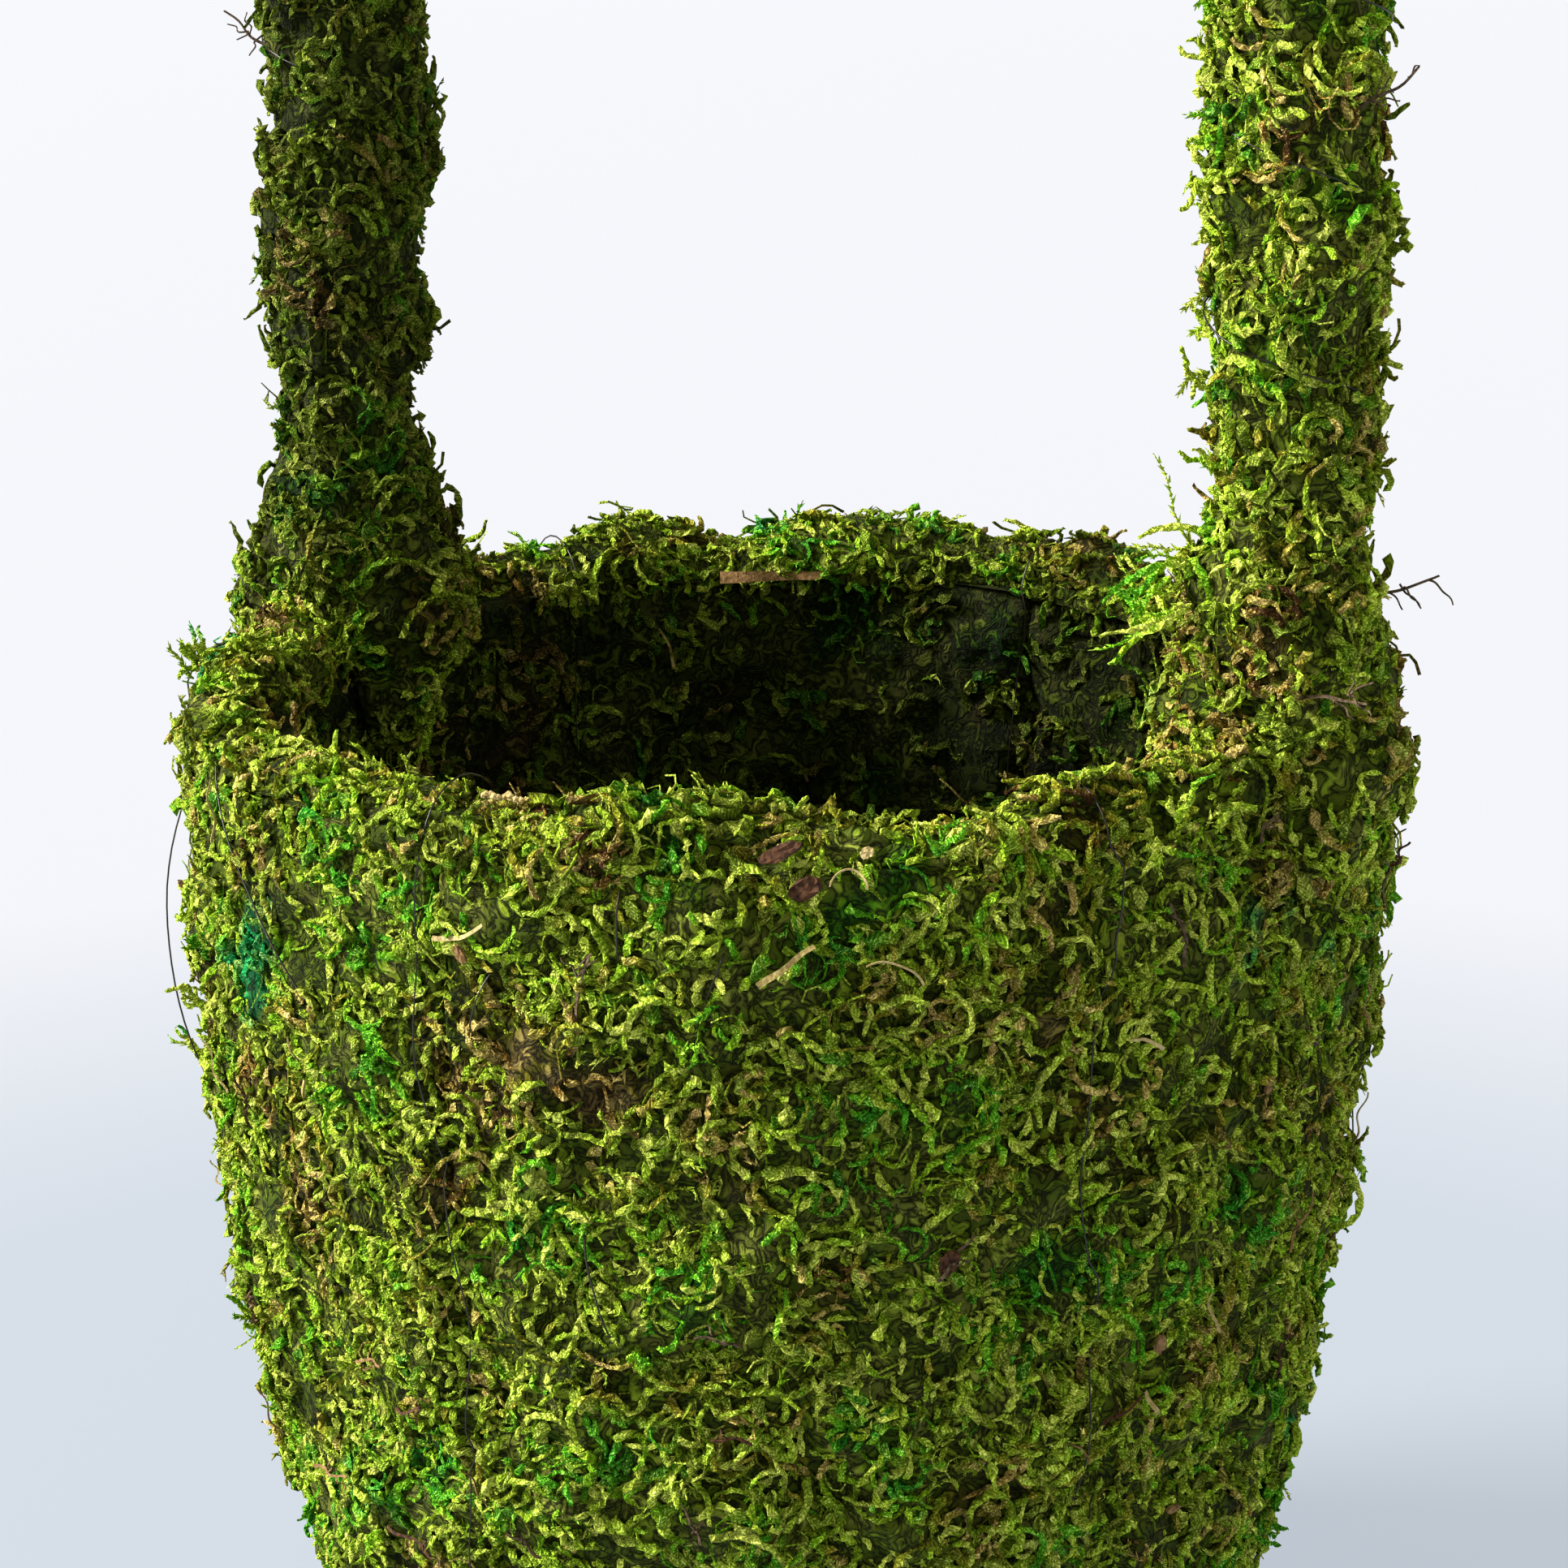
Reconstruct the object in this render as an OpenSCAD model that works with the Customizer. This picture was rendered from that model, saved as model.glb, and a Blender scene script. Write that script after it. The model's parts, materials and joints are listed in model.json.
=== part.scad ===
// Moss hanging basket: a welded wire frame between two layers of sheet moss, with a rolled moss rim
// and a tall fixed hoop handle that is wrapped in moss.
// The base's middle is at the origin, +Z is up, and the handle's legs stand at +X and -X.

/* [Basket body] */
// Height of the rim's crest above the ground
crest_h = 205; // [198:1:225]
// Outer radius of the wall where it is widest, just below the rim
wall_r = 107; // [105:0.5:116]
// Thickness of the moss wall, outer face to inner face
wall_t = 22; // [21:0.5:23]
// Straight height from the widest place up to the middle of the rim roll
collar_h = 9; // [7:0.5:12]
// Radius of the side's slow curve, seen from the side
side_bend_r = 601.5; // [550:0.5:800]
// Radius of the round between the side and the base
foot_bend_r = 49; // [44:1:52]
// Thickness of the outer layer of moss
outer_moss_t = 8; // [7:0.5:8.5]
// Number of moss sheets round the wall, in each layer
sheets = 6; // [6]

/* [Wire frame] */
// Diameter of the hoop that stiffens the rim
rim_hoop_d = 4; // [3.5:0.1:4.5]
// Diameter of the other hoops
hoop_d = 3; // [2.8:0.1:3.2]
// Heights of the lower, middle and upper hoop
hoop_heights = [50, 100, 150]; // [20:5:170]
// Angle of the base hoop below the horizontal, on the foot's round
base_hoop_a = 60; // [55:1:65]
// Radius of the small ring under the middle of the base
centre_ring_r = 15; // [13:0.5:17]
// Diameter of the ribs
rib_d = 2.5; // [2.3:0.1:2.7]
// Number of ribs
ribs = 12; // [12]
// Depth by which two wires are pressed into each other at a weld
weld = 0.2; // [0.1:0.05:0.3]

/* [Handle] */
// Diameter of each of the handle's two wires
handle_wire_d = 3.2; // [3:0.1:3.4]
// Distance between the two wires' centres
handle_wire_gap = 11; // [10:0.5:12]
// Diameter of the moss round the handle
handle_moss_d = 29; // [27:0.5:31]
// Distance from the basket's axis to the middle of each moss-covered leg
leg_x = 95; // [94.5:0.1:95.5]
// Height at which the straight legs turn into the arch
arch_z = 330; // [300:5:360]
// Height at which a leg starts to widen towards the rim
root_top_z = 244; // [240:1:250]
// Radius of the moss at the root of a leg, at its widest
root_r = 24; // [22:0.5:25]

/* [Binding thread] */
// Thickness of the nylon thread
thread_d = 0.5; // [0.4:0.05:0.6]
// Climb of the thread for each turn round the handle
thread_pitch = 30; // [28:1:36]

/* [Hidden] */
fine = 360;
wire_fine = 32;
slack = 0.2;                    // air between the moss and the wires it covers
seam_a = 0.25;                  // half the gap between two moss sheets, in degrees

rim_roll_r = wall_t / 2;
rim_x = wall_r - rim_roll_r;
rim_z = crest_h - rim_roll_r;
wide_z = rim_z - collar_h;
side_c = [wall_r - side_bend_r, wide_z];
foot_c = [side_c.x + sqrt(pow(side_bend_r - foot_bend_r, 2) - pow(wide_z - foot_bend_r, 2)), foot_bend_r];
centres_line = foot_c - side_c; // the side's curve and the foot's round meet on this line
level_out = [2 * side_bend_r, 0];
straight_down = [0, -4 * foot_bend_r];

// Depths from the wall's outer face to the middle of the hoops and ribs, and to the inner moss
hoop_t = outer_moss_t + slack + hoop_d / 2;
rib_t = hoop_t + hoop_d / 2 - weld + rib_d / 2;
inner_moss_t0 = rib_t + rib_d / 2 + slack;

// Radius of the wall's outer face at a height above the foot's round
function face_r(z) = side_c.x + sqrt(pow(side_bend_r, 2) - pow(wide_z - z, 2));

// The handle's wires lie against the inside of the upper hoop and the rim hoop
upper_inside_r = face_r(hoop_heights[2]) - hoop_t - hoop_d / 2;
handle_wire_x = upper_inside_r + weld - handle_wire_d / 2;
rim_hoop_r = upper_inside_r + rim_hoop_d / 2;
wire_past_hoop = 5;             // length by which a handle wire goes on below the hoop it is welded to
handle_foot_z = hoop_heights[2] - wire_past_hoop;

sheet_a = 360 / sheets;
rib_a = 360 / ribs;
handle_moss_r = handle_moss_d / 2;
tie_t = 1.1;                    // thickness and height of the coils of tie wire
tie_h = 6;
tie_heights = [258, 312];
core_r = handle_wire_d / 2 + tie_t + slack; // the channel in the handle's moss for the wires and their ties

thread_through_a = 35;          // where a wall thread passes through the foot's round
through_ray = 4 * foot_bend_r * [cos(thread_through_a), -sin(thread_through_a)];
thread_first_a = sheet_a / 2;
thread_clear = 0.15;            // air between the handle's thread and its moss
thread_start = 4;               // height above a root at which the thread starts and ends
coil_r = handle_moss_r + thread_d / 2 + thread_clear;
leg_run = arch_z - root_top_z - thread_start;
arch_run = PI * leg_x;
coil_steps = 24;
coil_rings = floor((2 * leg_run + arch_run) / thread_pitch * coil_steps);

function two_digits(n) = n < 10 ? str("0", n) : str(n);
function rib_name(n) = str("rib_", two_digits(n));
function outer_name(n) = str("outer_moss_", n);
function inner_name(n) = str("inner_moss_", n);

// ---------- shapes that several pieces share ----------

// Part of a flat ring, in the plane of a section, between two rays that are well over its radius long
module bend_2d(centre, r_in, r_out, ray0, ray1) {
    translate(centre) intersection() {
        difference() {
            circle(r_out, $fn = fine);
            circle(r_in, $fn = fine);
        }
        polygon([[0, 0], ray0, ray1]);
    }
}

// Section of one layer of the wall, between two depths from the outer face
module layer_2d(t0, t1, foot_ray = straight_down) {
    bend_2d(side_c, side_bend_r - t1, side_bend_r - t0, level_out, 2 * centres_line);
    bend_2d(foot_c, foot_bend_r - t1, foot_bend_r - t0, centres_line / 2, foot_ray);
    translate([wall_r - t1, wide_z]) square([t1 - t0, collar_h]);
}

// A sheet of moss: one layer of the wall between two seams
module sheet(n, t0, t1) {
    rotate((n - 1.5) * sheet_a + seam_a)
        rotate_extrude(angle = sheet_a - 2 * seam_a, $fn = fine) layer_2d(t0, t1);
}

// A level ring of round wire
module hoop(r, z, d) {
    translate([0, 0, z]) rotate_extrude($fn = fine) translate([r, 0]) circle(d = d, $fn = wire_fine);
}

// A bent length of round wire in the XZ plane, between two rays about a centre
module wire_bend(centre, r, d, ray0, ray1) {
    translate([centre.x, 0, centre.y]) rotate([90, 0, 0]) intersection() {
        rotate_extrude($fn = fine) translate([r, 0]) circle(d = d, $fn = wire_fine);
        translate([0, 0, -d]) linear_extrude(2 * d) polygon([[0, 0], ray0, ray1]);
    }
}

// Outline of the space round the two handle wires, grown by r
module core_2d(r) {
    for (s = [-1, 1]) translate([0, s * handle_wire_gap / 2]) circle(r, $fn = wire_fine);
    translate([-r, -handle_wire_gap / 2]) square([2 * r, handle_wire_gap]);
}

// Places its children at one leg: side is 1 for the leg at +X, and -1 for its mirror image
module at_side(side) {
    if (side > 0) children();
    else mirror([1, 0, 0]) children();
}

// Holes for the two wires of one leg, through the moss of the wall and the rim
module wire_holes() {
    for (s = [-1, 1]) translate([handle_wire_x, s * handle_wire_gap / 2, handle_foot_z - 1])
        cylinder(r = handle_wire_d / 2 + slack, h = crest_h, $fn = wire_fine);
}

// ---------- wire frame ----------

module rim_hoop() {
    color("darkslategray") hoop(rim_hoop_r, rim_z, rim_hoop_d);
}

module wall_hoop(z) {
    color("slategray") hoop(face_r(z) - hoop_t, z, hoop_d);
}

module base_hoop() {
    r = foot_bend_r - hoop_t;
    color("slategray") hoop(foot_c.x + r * cos(base_hoop_a), foot_c.y - r * sin(base_hoop_a), hoop_d);
}

module centre_ring() {
    color("slategray") hoop(centre_ring_r, hoop_t, hoop_d);
}

// One rib: down the wall, round the foot and in to the centre ring
module rib(n) {
    inner_end = centre_ring_r - hoop_d / 2;
    top_z = rim_z - 1;
    color("gray") rotate((n - 0.5) * rib_a) {
        translate([wall_r - rib_t, 0, wide_z]) cylinder(d = rib_d, h = top_z - wide_z, $fn = wire_fine);
        wire_bend(side_c, side_bend_r - rib_t, rib_d, level_out, 2 * centres_line);
        wire_bend(foot_c, foot_bend_r - rib_t, rib_d, centres_line / 2, straight_down);
        translate([inner_end, 0, rib_t]) rotate([0, 90, 0])
            cylinder(d = rib_d, h = foot_c.x - inner_end, $fn = wire_fine);
    }
}

// One of the two wires of the handle: up a leg, over the arch and down the other leg
module handle_wire(side) {
    color("dimgray") translate([0, side * handle_wire_gap / 2, 0]) {
        for (s = [-1, 1]) translate([s * handle_wire_x, 0, handle_foot_z])
            cylinder(d = handle_wire_d, h = arch_z - handle_foot_z, $fn = wire_fine);
        translate([0, 0, arch_z]) rotate([90, 0, 0]) rotate_extrude(angle = 180, $fn = fine)
            translate([handle_wire_x, 0]) circle(d = handle_wire_d, $fn = wire_fine);
    }
}

// Flat coils of tie wire that hold the handle's two wires together
module handle_ties() {
    color("silver") {
        for (s = [-1, 1], z = tie_heights) translate([s * handle_wire_x, 0, z]) tie();
        translate([0, 0, arch_z + handle_wire_x]) rotate([0, 90, 0]) translate([0, 0, -tie_h / 2]) tie();
    }
}

module tie() {
    linear_extrude(tie_h) difference() {
        core_2d(handle_wire_d / 2 + tie_t);
        core_2d(handle_wire_d / 2);
    }
}

// ---------- moss of the body ----------

module outer_moss(n) {
    color("olivedrab") sheet(n, 0, outer_moss_t);
}

module inner_moss(n) {
    color("darkolivegreen") difference() {
        sheet(n, inner_moss_t0, wall_t);
        if (n == 1) wire_holes();
        if (n == 1 + sheets / 2) mirror([1, 0, 0]) wire_holes();
    }
}

module base_moss_pad() {
    color("darkolivegreen") cylinder(r = foot_c.x - slack, h = outer_moss_t, $fn = fine);
}

module floor_moss_pad() {
    color("darkolivegreen") translate([0, 0, inner_moss_t0])
        cylinder(r = foot_c.x - slack, h = wall_t - inner_moss_t0, $fn = fine);
}

// Half of the rolled rim, over the rim hoop, from one handle leg to the other
module rim_moss(side) {
    color("yellowgreen") difference() {
        rotate(side > 0 ? 0 : 180) rotate_extrude(angle = 180, $fn = fine) translate([rim_x, rim_z])
            difference() {
                circle(rim_roll_r, $fn = 64);
                translate([-wall_t, -wall_t]) square([2 * wall_t, wall_t]);
                translate([rim_hoop_r - rim_x, 0]) circle(rim_hoop_d / 2 + slack, $fn = wire_fine);
            }
        wire_holes();
        mirror([1, 0, 0]) wire_holes();
    }
}

// ---------- moss of the handle ----------

// Radius of the moss round the foot of a leg at a height: it swells over the rim and dies into the wall
root_low_z = crest_h - 33;
root_wide_z = crest_h - 5;
function ease(u) = u * u * (3 - 2 * u);
function root_r_at(z) = z > root_wide_z
    ? root_r - (root_r - handle_moss_r) * ease((z - root_wide_z) / (root_top_z - root_wide_z))
    : handle_moss_r + (root_r - handle_moss_r) * sin(90 * (z - root_low_z) / (root_wide_z - root_low_z));

module root_moss(side) {
    low = [for (k = [0:3]) root_low_z + (root_wide_z - root_low_z) * k / 4];
    high = [for (k = [0:8]) root_wide_z + (root_top_z - root_wide_z) * k / 8];
    color("olive") at_side(side) difference() {
        translate([leg_x, 0, 0]) rotate_extrude($fn = 96)
            polygon(concat([[0, root_low_z]], [for (z = concat(low, high)) [root_r_at(z), z]], [[0, root_top_z]]));
        rotate_extrude($fn = fine) {
            translate([rim_x, rim_z]) circle(rim_roll_r + slack, $fn = 64);
            translate([wall_r - wall_t - slack, root_low_z - 1])
                square([wall_t + 2 * slack, rim_z - root_low_z + 1]);
        }
        translate([handle_wire_x, 0, root_low_z]) linear_extrude(crest_h) core_2d(core_r);
    }
}

module leg_moss(side) {
    color("olivedrab") at_side(side) difference() {
        translate([leg_x, 0, root_top_z]) cylinder(r = handle_moss_r, h = arch_z - root_top_z, $fn = 96);
        translate([handle_wire_x, 0, root_top_z - 1]) linear_extrude(arch_z) core_2d(core_r);
    }
}

// Part of the arch between two angles, with the channel for the wires
module arch_moss(a0, a1) {
    translate([0, 0, arch_z]) rotate([90, 0, 0]) rotate(a0) rotate_extrude(angle = a1 - a0, $fn = fine)
        difference() {
            translate([leg_x, 0]) circle(handle_moss_r, $fn = 96);
            translate([handle_wire_x, 0]) core_2d(core_r);
        }
}

module shoulder_moss(side) {
    color("yellowgreen") at_side(side) arch_moss(0, 60);
}

module crown_moss() {
    color("olivedrab") arch_moss(60, 120);
}

// ---------- binding thread ----------

// Loops sewn round the wall at the seams: over the rim, down both faces and through the foot's round
module body_thread() {
    color("black") for (n = [1:sheets]) rotate(thread_first_a + n * sheet_a)
        rotate([90, 0, 0]) translate([0, 0, -thread_d / 2]) linear_extrude(thread_d) {
            layer_2d(-thread_d, 0, through_ray);
            layer_2d(wall_t, wall_t + thread_d, through_ray);
            for (s = [-1, 1]) bend_2d([rim_x, rim_z], rim_roll_r, rim_roll_r + thread_d,
                [s * 2 * wall_t, 0], [0, 2 * wall_t]);
            translate(foot_c) rotate(-thread_through_a) translate([foot_bend_r - wall_t - thread_d / 2, 0])
                square([wall_t + thread_d, thread_d]);
        }
}

// A point of the handle's middle line, and the outward direction there, at a distance along it
function arch_angle(s) = 180 - 180 * (s - leg_run) / arch_run;
function run_point(s) = s < leg_run ? [-leg_x, arch_z - leg_run + s]
    : s > leg_run + arch_run ? [leg_x, arch_z - (s - leg_run - arch_run)]
    : [leg_x * cos(arch_angle(s)), arch_z + leg_x * sin(arch_angle(s))];
function run_out(s) = s < leg_run ? [-1, 0]
    : s > leg_run + arch_run ? [1, 0]
    : [cos(arch_angle(s)), sin(arch_angle(s))];

// One corner of the thread's square section: k is the ring, c the corner
function coil_point(k, c) = let(
    turn = 360 * k / coil_steps,
    s = k * thread_pitch / coil_steps,
    p = run_point(s),
    out = run_out(s),
    radial = coil_r + thread_d / 2 * cos(90 * c),
    along = thread_d / 2 * sin(90 * c),
    reach = radial * cos(turn)
) [p.x + reach * out.x + along * out.y, radial * sin(turn), p.y + reach * out.y - along * out.x];

// One thread wound up a leg, over the arch and down the other leg
module handle_thread() {
    last = 4 * coil_rings;
    color("black") polyhedron(
        points = [for (k = [0:coil_rings], c = [0:3]) coil_point(k, c)],
        faces = concat(
            [for (k = [0:4:last - 4], c = [0:3]) [k + c, k + (c + 1) % 4, k + 4 + (c + 1) % 4]],
            [for (k = [0:4:last - 4], c = [0:3]) [k + c, k + 4 + (c + 1) % 4, k + 4 + c]],
            [[3, 2, 1, 0], [last, last + 1, last + 2, last + 3]]
        )
    );
}

// ---------- the pieces ----------

rim_hoop();
wall_hoop(hoop_heights[2]);  // upper_hoop
wall_hoop(hoop_heights[1]);  // middle_hoop
wall_hoop(hoop_heights[0]);  // lower_hoop
base_hoop();
centre_ring();
for (n = [1:ribs]) rib(n);
handle_wire(-1);  // handle_wire_front
handle_wire(1);  // handle_wire_back
handle_ties();
for (n = [1:sheets]) outer_moss(n);
for (n = [1:sheets]) inner_moss(n);
base_moss_pad();
floor_moss_pad();
rim_moss(-1);  // rim_moss_front
rim_moss(1);  // rim_moss_back
root_moss(-1);  // root_moss_left
root_moss(1);  // root_moss_right
leg_moss(-1);  // leg_moss_left
leg_moss(1);  // leg_moss_right
shoulder_moss(-1);  // shoulder_moss_left
shoulder_moss(1);  // shoulder_moss_right
crown_moss();
body_thread();
handle_thread();
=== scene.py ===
import json
import math
import random

import bpy
from mathutils import Matrix, Vector, noise
from mathutils.bvhtree import BVHTree

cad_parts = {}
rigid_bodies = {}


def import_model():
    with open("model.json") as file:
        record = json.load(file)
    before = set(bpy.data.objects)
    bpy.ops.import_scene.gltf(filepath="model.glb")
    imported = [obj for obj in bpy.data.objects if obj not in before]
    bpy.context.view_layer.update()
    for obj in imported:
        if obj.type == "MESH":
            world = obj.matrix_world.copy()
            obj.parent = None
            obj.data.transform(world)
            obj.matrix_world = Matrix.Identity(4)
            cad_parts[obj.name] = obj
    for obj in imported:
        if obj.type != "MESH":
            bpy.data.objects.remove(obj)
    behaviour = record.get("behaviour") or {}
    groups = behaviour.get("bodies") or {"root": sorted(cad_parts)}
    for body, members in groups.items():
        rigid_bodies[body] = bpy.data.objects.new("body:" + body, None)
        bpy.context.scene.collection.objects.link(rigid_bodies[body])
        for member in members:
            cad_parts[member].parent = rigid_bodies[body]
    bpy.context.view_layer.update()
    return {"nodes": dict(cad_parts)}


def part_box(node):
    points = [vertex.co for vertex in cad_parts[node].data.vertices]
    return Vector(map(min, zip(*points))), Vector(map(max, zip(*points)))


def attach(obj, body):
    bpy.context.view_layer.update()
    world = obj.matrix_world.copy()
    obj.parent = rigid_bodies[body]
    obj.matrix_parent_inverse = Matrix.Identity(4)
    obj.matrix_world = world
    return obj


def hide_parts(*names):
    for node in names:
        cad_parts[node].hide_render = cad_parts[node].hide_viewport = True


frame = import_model()
bpy.ops.object.select_all(action="DESELECT")


# ---- Camera ----
# A long lens, level with the middle of the mouth and looking down into it, 32 degrees round from the
# handle's open side. The edges of its view cut off the handle's crown and the base.
MM = 0.001
mouth = Vector((0, 0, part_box("rim_moss_front")[1].z))
round_from_front, look_down = math.radians(32), math.radians(16.5)
ahead = Vector((-math.sin(round_from_front) * math.cos(look_down),
                math.cos(round_from_front) * math.cos(look_down), -math.sin(look_down)))
to_right = Vector((math.cos(round_from_front), math.sin(round_from_front), 0))
up = to_right.cross(ahead)
stand_off, mouth_above_axis, mouth_right_of_axis = 699.6 * MM, 25 * MM, 0.4 * MM
bpy.ops.object.camera_add(
    location=mouth - ahead * stand_off - up * mouth_above_axis - to_right * mouth_right_of_axis)
camera = bpy.context.object
camera.rotation_euler = ahead.to_track_quat("-Z", "Y").to_euler()
camera.data.sensor_width, camera.data.lens = 36, 91.5
camera.data.clip_start = 0.05
bpy.context.scene.camera = camera


# ---- Floor and light ----
# A plain pale floor, a little bluer where the basket stands, that glows by itself as painted light, in the
# light of one large window on the left and a weak fill from the right. All of it is soft.
def linear(hex_colour):
    """sRGB hex to the linear colour that a shader takes."""
    parts = [int(hex_colour[i:i + 2], 16) / 255 for i in (1, 3, 5)]
    return tuple(c / 12.92 if c <= 0.04045 else ((c + 0.055) / 1.055) ** 2.4 for c in parts) + (1,)


def add(tree, kind, links=(), **settings):
    """Adds a node. Each setting is one of its properties, the stops of its ramp, or an input, which is given
    by its name or by an i and its number."""
    node = tree.nodes.new(kind)
    for key, value in settings.items():
        if key == "stops":
            while len(node.color_ramp.elements) < len(value):
                node.color_ramp.elements.new(0.5)
            for element, (place, colour) in zip(node.color_ramp.elements, value):
                element.position, element.color = place, linear(colour)
        elif key[0] == "i" and key[1:].isdigit():
            node.inputs[int(key[1:])].default_value = value
        elif hasattr(node, key):
            setattr(node, key, value)
        else:
            node.inputs[key.replace("_", " ")].default_value = value
    for into, source in dict(links).items():
        tree.links.new(source, node.inputs[into])
    return node


def new_material(name):
    material = bpy.data.materials.new(name)
    material.use_nodes = True
    material.node_tree.nodes.clear()
    return material, material.node_tree


def finish_material(tree, **settings):
    shader = add(tree, "ShaderNodeBsdfPrincipled")
    for key, value in settings.items():
        socket = shader.inputs[key.replace("_", " ")]
        if isinstance(value, bpy.types.NodeSocket):
            tree.links.new(value, socket)
        else:
            socket.default_value = value
    add(tree, "ShaderNodeOutputMaterial", {"Surface": shader.outputs[0]})


# Backdrop paper lit from above, and glowing by itself as painted light from below: shadows on it are faint
# and soft.
paper, tree = new_material("floor_paper")
where = add(tree, "ShaderNodeTexCoord").outputs["Object"]
away = add(tree, "ShaderNodeVectorMath", {0: where}, operation="LENGTH").outputs["Value"]
pale = add(tree, "ShaderNodeValToRGB", {"Fac": away},
           stops=[(0.28, "#4f5359"), (0.52, "#5c5d61")]).outputs["Color"]
finish_material(tree, Base_Color=pale, Roughness=0.7, Emission_Color=pale, Emission_Strength=6.0)

bpy.ops.mesh.primitive_plane_add(size=12, location=(0, 0, 0))
floor = bpy.context.object
floor.data.materials.append(paper)

world = bpy.data.worlds.new("studio")
bpy.context.scene.world = world
world.use_nodes = True
# The room's own light is dim and a little warm; where it is looked at directly, it is near white
room = world.node_tree
seen = add(room, "ShaderNodeLightPath").outputs["Is Camera Ray"]
tint = add(room, "ShaderNodeMix", {"Factor": seen}, data_type="RGBA", i6=linear("#f1eecb"),
           i7=linear("#f6f7fb")).outputs[2]
room.links.new(tint, room.nodes["Background"].inputs["Color"])
strength = add(room, "ShaderNodeMapRange", {"Value": seen}, To_Min=0.53, To_Max=0.99).outputs[0]
room.links.new(strength, room.nodes["Background"].inputs["Strength"])
bpy.context.scene.view_settings.view_transform = "Standard"


def soft_light(name, place, strength, spread, colour):
    """Light as from a large window or screen, alike over the whole scene."""
    bpy.ops.object.light_add(type="SUN", location=place)
    light = bpy.context.object
    light.name = name
    light.data.energy = strength
    light.data.angle = math.radians(spread)
    light.data.color = linear(colour)[:3]
    light.rotation_euler = (mouth - Vector(place)).to_track_quat("-Z", "Y").to_euler()


soft_light("window_left", (-1.55, -1.02, 1.30), 9.9, 22, "#fffaf2")
soft_light("fill_right", (1.6, -0.9, 1.0), 0.2, 40, "#eef3ff")


# ---- Moss shoots ----
# One shoot of feather moss is a soft stem under 1 mm thick, with pointed leaves set close round it. A few
# straight ones are modelled, and each kind is a copy of one of them bent along its own curl.
random.seed(20)


def cone(radius, length, place, aim, sides=3):
    """A cone of a few sides that starts at place and points along aim."""
    bpy.ops.mesh.primitive_cone_add(vertices=sides, radius1=radius, radius2=0, depth=length)
    shape = bpy.context.object
    aim = Vector(aim).normalized()
    turn = aim.to_track_quat("Z", "Y").to_matrix().to_4x4()
    shape.data.transform(Matrix.Translation(Vector(place) + aim * length / 2) @ turn)
    return shape


def joined(name, shapes):
    """Joins the shapes into one mesh object with its origin at the world's."""
    bpy.ops.object.select_all(action="DESELECT")
    for shape in shapes:
        shape.select_set(True)
    bpy.context.view_layer.objects.active = shapes[0]
    bpy.ops.object.join()
    bpy.context.object.name = name
    bpy.ops.object.transform_apply()
    bpy.ops.object.select_all(action="DESELECT")
    return bpy.context.object


def ringed(length, rings):
    """A three-sided bar along +X from the origin, cut into rings that its shape is then given by."""
    bpy.ops.mesh.primitive_cylinder_add(vertices=3, radius=1 * MM, depth=length, end_fill_type="NGON")
    bar = bpy.context.object
    bar.data.transform(Matrix.Translation((length / 2, 0, 0)) @ Matrix.Rotation(math.radians(90), 4, "Y"))
    bpy.ops.object.mode_set(mode="EDIT")
    for step in range(1, rings):
        bpy.ops.mesh.select_all(action="SELECT")
        bpy.ops.mesh.bisect(plane_co=(length * step / rings, 0, 0), plane_no=(1, 0, 0))
    bpy.ops.object.mode_set(mode="OBJECT")
    return bar


def mark_reach(shoot):
    """Notes how far each point stands off the stem, and where it is on the straight shoot: along it, and to
    the side. Its leaf edges follow these, and so does its colour, which has painted shade near the stem."""
    reach = shoot.data.attributes.new("reach", "FLOAT", "POINT")
    straight = shoot.data.attributes.new("straight", "FLOAT_VECTOR", "POINT")
    for vertex, value, spot in zip(shoot.data.vertices, reach.data, straight.data):
        value.value = min(1, math.hypot(vertex.co.y, vertex.co.z) / (1.2 * MM))
        spot.vector = vertex.co


def leafy(length, rings, width):
    """A plump shoot: each ring is three leaf points, and the next ring's points stand between them."""
    shoot = ringed(length, rings)
    for vertex in shoot.data.vertices:
        ring = round(vertex.co.x * rings / length)
        corner = round(math.atan2(vertex.co.z, vertex.co.y) / math.radians(120))
        angle = math.radians(90 + 120 * corner + 60 * (ring % 2)) + random.uniform(-0.35, 0.35)
        radius = width * (1 - 0.6 * (ring / rings) ** 3) * random.uniform(0.65, 1.2)
        vertex.co.x += length / rings * random.uniform(-0.3, 0.7)
        vertex.co.y, vertex.co.z = radius * math.cos(angle), radius * math.sin(angle)
    mark_reach(shoot)
    return shoot


def feathery(length, leaves, leaf_length, leaf_radius):
    """A fine shoot: a thin stem with narrow leaves that open to the left, the right and up in turn."""
    shapes = [ringed(length, 5)]
    for vertex in shapes[0].data.vertices:
        slim = 0.26 * (1 - 0.6 * vertex.co.x / length)
        vertex.co.y, vertex.co.z = vertex.co.y * slim, vertex.co.z * slim
    for n in range(leaves):
        along = (n + 0.5) / leaves
        turn = math.radians((185, -5, 70, 170, 10, 110)[n % 6]) + random.uniform(-0.3, 0.3)
        open_out = 1.1 - 0.5 * along
        aim = (1, open_out * math.cos(turn), open_out * math.sin(turn))
        start = along * (length - leaf_length * 0.6)
        shapes.append(cone(leaf_radius, leaf_length * (1 - 0.35 * along), (start, 0, 0), aim))
    shoot = joined("shoot", shapes)
    mark_reach(shoot)
    return shoot


def mark_height(shape):
    """Notes how high each point lies over the mat, from 0 at the bottom of a shoot to 1 on top. Its colour
    has painted shade on the low points.
    """
    height = shape.data.attributes.new("height", "FLOAT", "POINT")
    for vertex, value in zip(shape.data.vertices, height.data):
        value.value = max(0, min(1, (vertex.co.z + 0.7 * MM) / (2.0 * MM)))


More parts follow.
